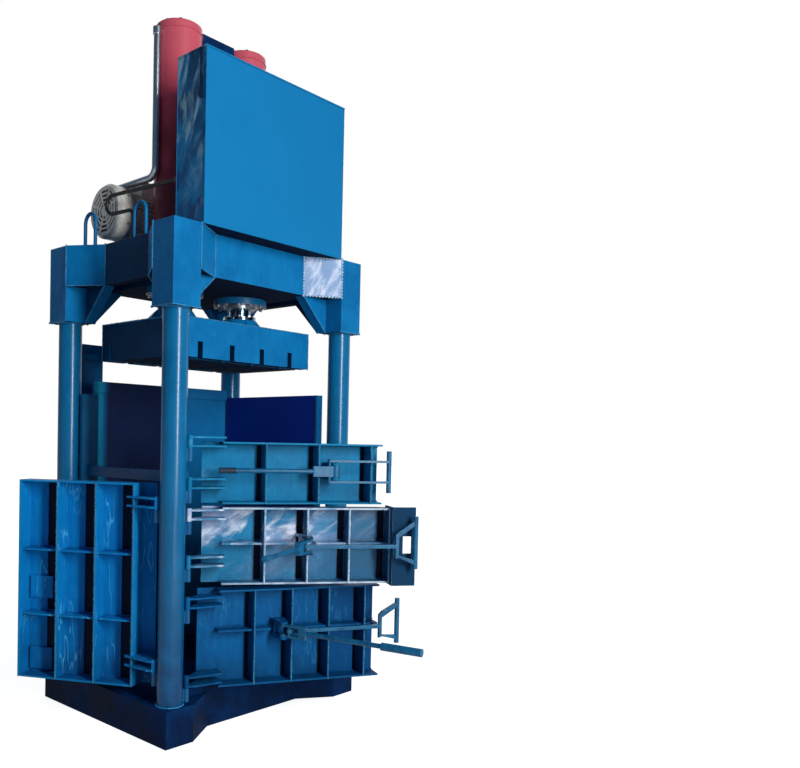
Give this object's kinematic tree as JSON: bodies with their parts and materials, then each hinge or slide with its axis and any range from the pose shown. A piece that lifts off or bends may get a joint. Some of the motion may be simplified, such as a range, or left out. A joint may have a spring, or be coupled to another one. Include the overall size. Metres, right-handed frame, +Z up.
{
  "type": "recycling baler",
  "caption": "Upright four-column hydraulic baler: a platen on vertical rams presses material into a chamber closed by hinged, latched doors.",
  "frame": {"origin": "on the floor, midway between the columns", "axes": "+Z up, X along the long side; the stacked doors face -Y and the tall side door faces -X"},
  "size_m": [1.8527, 2.4563, 4.1],
  "materials": {
    "enamel": "gloss enamel with brush marks",
    "base_enamel": "dark gloss enamel",
    "cylinder_red": "gloss enamel",
    "bare_steel": "turned steel",
    "bare_liner": "dark mill scale",
    "hard_chrome": "hard chrome",
    "motor_grey": "satin enamel",
    "black_rubber": "matt",
    "black_plastic": "matt",
    "green_plastic": "gloss",
    "red_plastic": "gloss"
  },
  "bodies": {
    "frame": {"base_frame": "base_enamel", "chamber_floor": "base_enamel", "column_front_left": "enamel", "column_front_right": "enamel", "column_back_left": "enamel", "column_back_right": "enamel", "crosshead": "enamel", "lifting_loops": "enamel", "back_wall": "enamel", "right_wall": "enamel", "feed_frame": "enamel", "latch_keepers": "enamel", "column_knuckles": "enamel", "hinge_pins": "bare_steel", "cylinder_left": "cylinder_red", "cylinder_right": "cylinder_red", "glands": "bare_steel", "end_caps": "cylinder_red", "flange_bolts": "bare_steel", "port_block": "base_enamel", "oil_tank": "enamel", "level_gauge": "black_plastic", "filler_cap": "black_plastic", "drain_plug": "bare_steel", "motor_body": "motor_grey", "fan_cowl": "motor_grey", "terminal_box": "motor_grey", "bell_housing": "motor_grey", "pump": "base_enamel", "valve_block": "bare_steel", "pressure_pipe": "bare_steel", "return_hose": "black_rubber", "suction_hose": "black_rubber", "control_box": "enamel"},
    "side_door": {"side_door": "enamel", "side_door_liner": "bare_liner"},
    "top_door": {"top_door": "enamel", "top_door_liner": "bare_liner", "top_pivot_pin": "bare_steel"},
    "top_handle": {"top_handle": "enamel", "top_grip": "black_rubber"},
    "top_latch_link": {"top_latch_link": "enamel"},
    "middle_door": {"middle_door": "enamel", "middle_door_liner": "bare_liner", "middle_pivot_pin": "bare_steel"},
    "middle_handle": {"middle_handle": "enamel"},
    "middle_latch_link": {"middle_latch_link": "enamel"},
    "bottom_door": {"bottom_door": "enamel", "bottom_door_liner": "bare_liner", "bottom_pivot_pin": "bare_steel"},
    "bottom_handle": {"bottom_handle": "enamel"},
    "bottom_latch_link": {"bottom_latch_link": "enamel"},
    "press": {"platen": "enamel", "rod_left": "hard_chrome", "rod_right": "hard_chrome", "rod_foot_bolts": "bare_steel"},
    "rotor": {"motor_rotor": "bare_steel"},
    "cabinet_door": {"control_door": "enamel"},
    "start_button": {"start_button": "green_plastic"},
    "stop_button": {"stop_button": "red_plastic"}
  },
  "joints": [
    {"name": "top_door_hinge", "type": "hinge", "parent": "frame", "child": "top_door", "pos_m": [-0.59052, -0.57736, 1.459], "axis": [0, 0, 1], "range_deg": [-67, 33]},
    {"name": "top_handle_pivot", "type": "hinge", "parent": "top_door", "child": "top_handle", "pos_m": [0.08, -1.02472, 1.459], "axis": [0, 0, 1], "range_deg": [0, 140]},
    {"name": "top_link_pin", "type": "hinge", "parent": "top_handle", "child": "top_latch_link", "pos_m": [0.04981, -1.00512, 1.459], "axis": [0, 0, 1], "range_deg": [-140, 0]},
    {"name": "middle_door_hinge", "type": "hinge", "parent": "frame", "child": "middle_door", "pos_m": [-0.59052, -0.57736, 1.058], "axis": [0, 0, 1], "range_deg": [-64, 36]},
    {"name": "middle_handle_pivot", "type": "hinge", "parent": "middle_door", "child": "middle_handle", "pos_m": [-0.10559, -1.00384, 1.058], "axis": [0, 0, 1], "range_deg": [-57, 83]},
    {"name": "middle_link_pin", "type": "hinge", "parent": "middle_handle", "child": "middle_latch_link", "pos_m": [-0.1392, -1.01675, 1.058], "axis": [0, 0, 1], "range_deg": [-83, 57]},
    {"name": "bottom_door_hinge", "type": "hinge", "parent": "frame", "child": "bottom_door", "pos_m": [-0.59052, -0.57736, 0.572], "axis": [0, 0, 1], "range_deg": [-72, 28]},
    {"name": "bottom_handle_pivot", "type": "hinge", "parent": "bottom_door", "child": "bottom_handle", "pos_m": [-0.12019, -0.83876, 0.572], "axis": [0, 0, 1], "range_deg": [-110, 0]},
    {"name": "bottom_link_pin", "type": "hinge", "parent": "bottom_handle", "child": "bottom_latch_link", "pos_m": [-0.1127, -0.87398, 0.572], "axis": [0, 0, 1], "range_deg": [0, 110]},
    {"name": "side_door_hinge", "type": "hinge", "parent": "frame", "child": "side_door", "pos_m": [-0.71592, -0.45835, 0.821], "axis": [0, 0, 1], "range_deg": [-30, 70]},
    {"name": "press_stroke", "type": "slide", "parent": "frame", "child": "press", "axis": [0, 0, -1], "range_m": [0, 1.3]},
    {"name": "motor_shaft", "type": "hinge", "parent": "frame", "child": "rotor", "pos_m": [-0.46, 0.335, 3], "axis": [1, 0, 0], "continuous": true},
    {"name": "cabinet_hinge", "type": "hinge", "parent": "frame", "child": "cabinet_door", "pos_m": [-0.56, 0.7863, 1.965], "axis": [0, 0, -1], "range_deg": [-110, 0]},
    {"name": "start_press", "type": "slide", "parent": "cabinet_door", "child": "start_button", "axis": [0, -1, 0], "range_m": [0, 0.006], "stiffness_N_per_m": 500},
    {"name": "stop_press", "type": "slide", "parent": "cabinet_door", "child": "stop_button", "axis": [0, -1, 0], "range_m": [0, 0.006], "stiffness_N_per_m": 500}
  ],
  "couplings": [
    {"joint": "top_link_pin", "follows": "top_handle_pivot", "ratio": -1},
    {"joint": "middle_link_pin", "follows": "middle_handle_pivot", "ratio": -1},
    {"joint": "bottom_link_pin", "follows": "bottom_handle_pivot", "ratio": -1}
  ]
}
